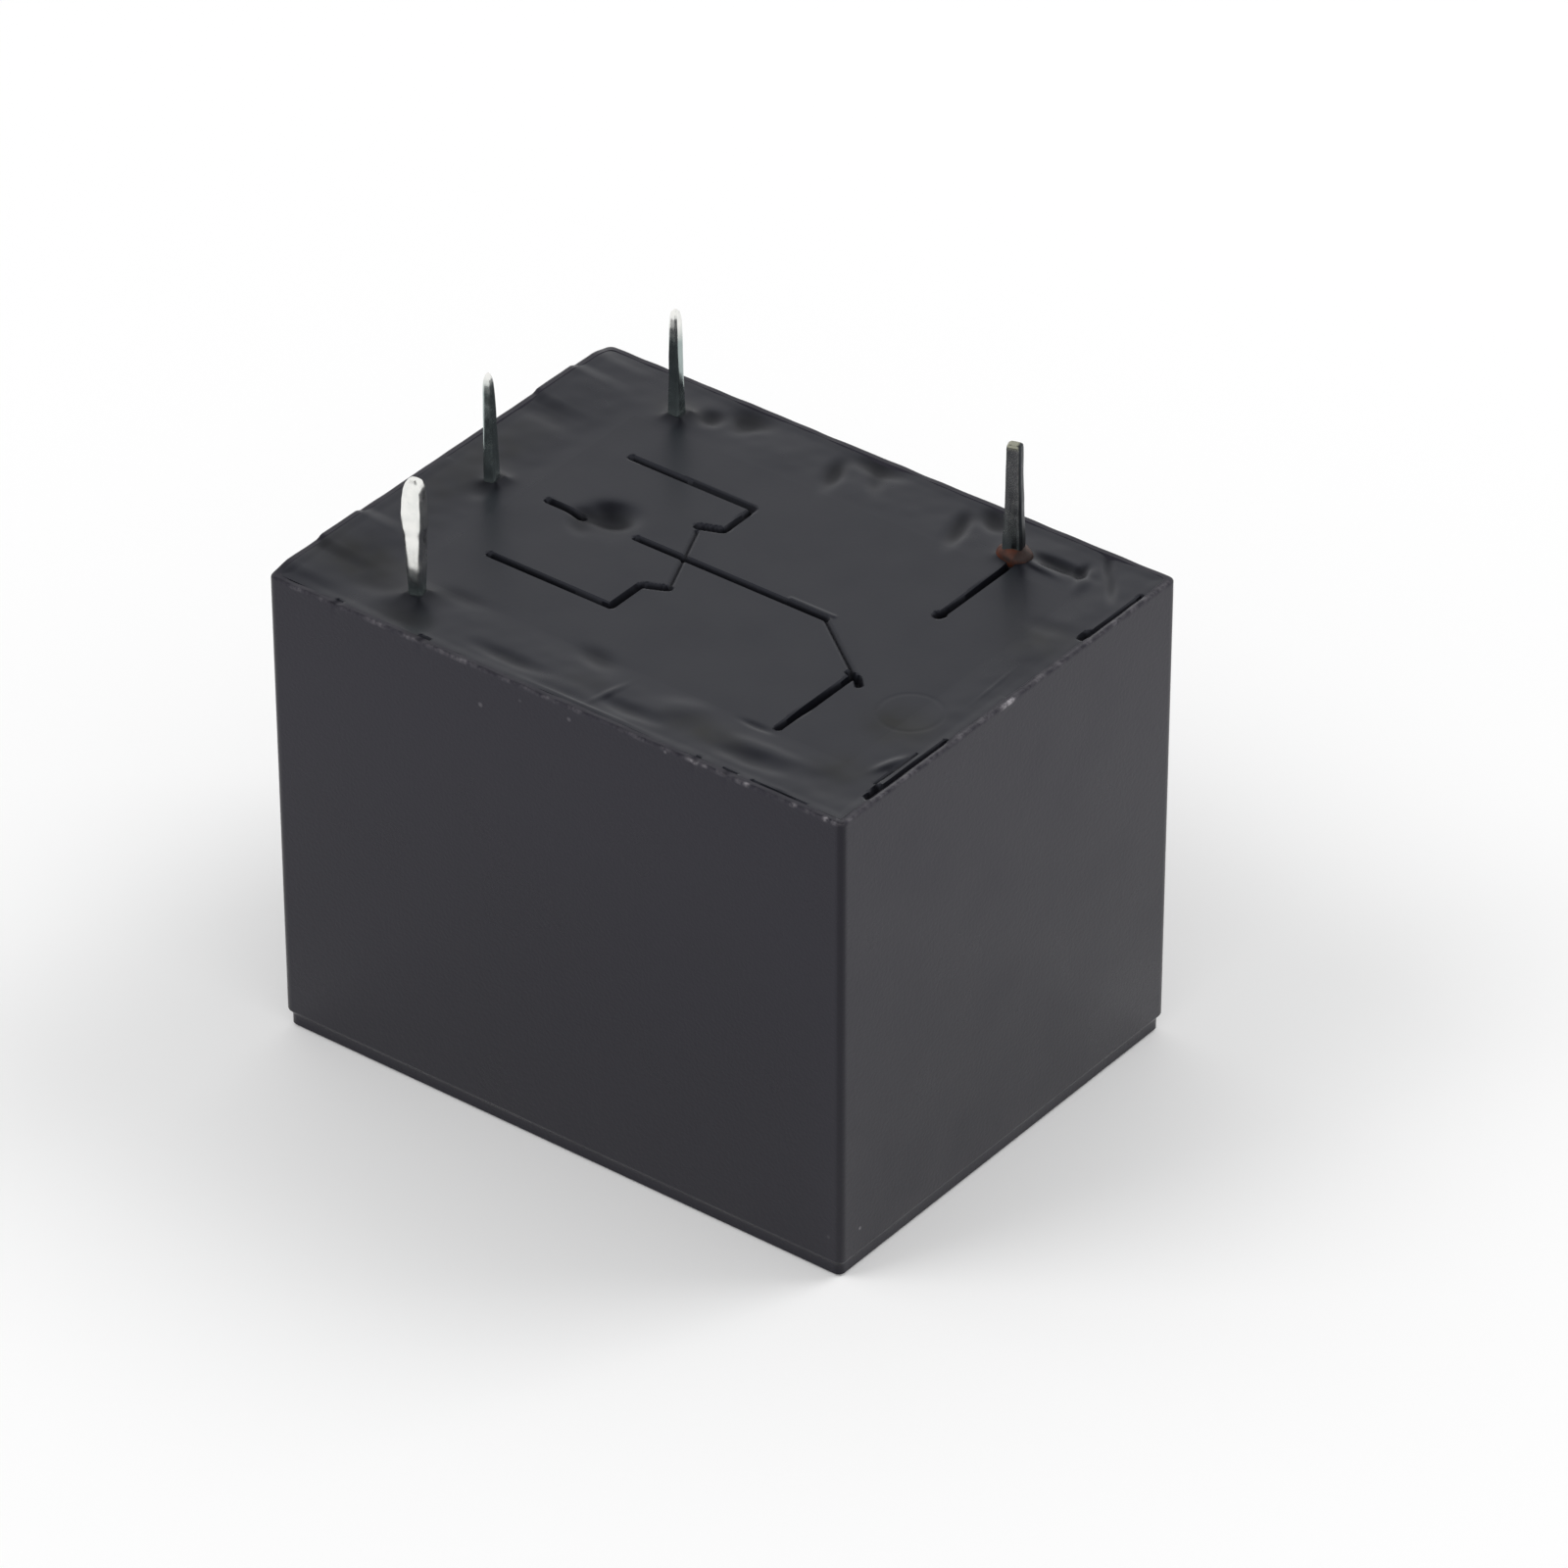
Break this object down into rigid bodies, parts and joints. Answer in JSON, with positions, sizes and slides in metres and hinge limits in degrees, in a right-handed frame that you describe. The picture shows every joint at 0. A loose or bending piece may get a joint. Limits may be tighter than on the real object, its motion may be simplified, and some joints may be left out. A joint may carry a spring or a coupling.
{
  "type": "pcb power relay",
  "caption": "Sealed cube-shaped power relay for a circuit board, normally open, with its coil, armature and contacts inside a black case and solder pins on its base.",
  "frame": {"origin": "centre of the case's closed face, on which the relay lies with its terminals up", "axes": "+X along the long side, from the coil terminals to the contacts; +Y along the short side; +Z out of the terminal side, the way the pins point"},
  "size_m": [0.0206, 0.0156, 0.0196],
  "materials": {
    "case_plastic": "fine matt moulded plastic",
    "base_plastic": "moulded plastic with a moulded diagram",
    "resin": "cast resin, satin, a little wavy",
    "flux": "dried flux",
    "tinned_terminal": "dull dipped solder",
    "stamped_brass": "stamped sheet",
    "spring_copper": "rolled spring sheet",
    "contact_silver": "formed silver alloy",
    "soft_iron": "plated soft iron",
    "bobbin_plastic": "natural moulded plastic",
    "enamelled_wire": "enamelled copper wire"
  },
  "bodies": {
    "housing": {"cover": "case_plastic", "base": "base_plastic", "sealing_resin": "resin", "flux_residue": "flux", "coil_terminal_front": "tinned_terminal", "coil_terminal_back": "tinned_terminal", "common_terminal": "tinned_terminal", "switch_terminal": "tinned_terminal", "back_stop": "stamped_brass", "fixed_contact": "contact_silver", "yoke": "soft_iron", "yoke_rivets": "soft_iron", "core": "soft_iron", "bobbin": "bobbin_plastic", "coil_winding": "enamelled_wire", "coil_lead_front": "enamelled_wire", "coil_lead_back": "enamelled_wire"},
    "moving_set": {"armature": "soft_iron", "armature_rivets": "soft_iron", "contact_spring": "spring_copper", "moving_contact": "contact_silver"}
  },
  "joints": [
    {"name": "armature_hinge", "type": "hinge", "parent": "housing", "child": "moving_set", "pos_m": [-0.0076, 0, 0.0036], "axis": [0, -1, 0], "range_deg": [0, 2], "stiffness_Nm_per_rad": 0.01, "springref_deg": -5.73, "deforming": ["contact_spring"]}
  ]
}
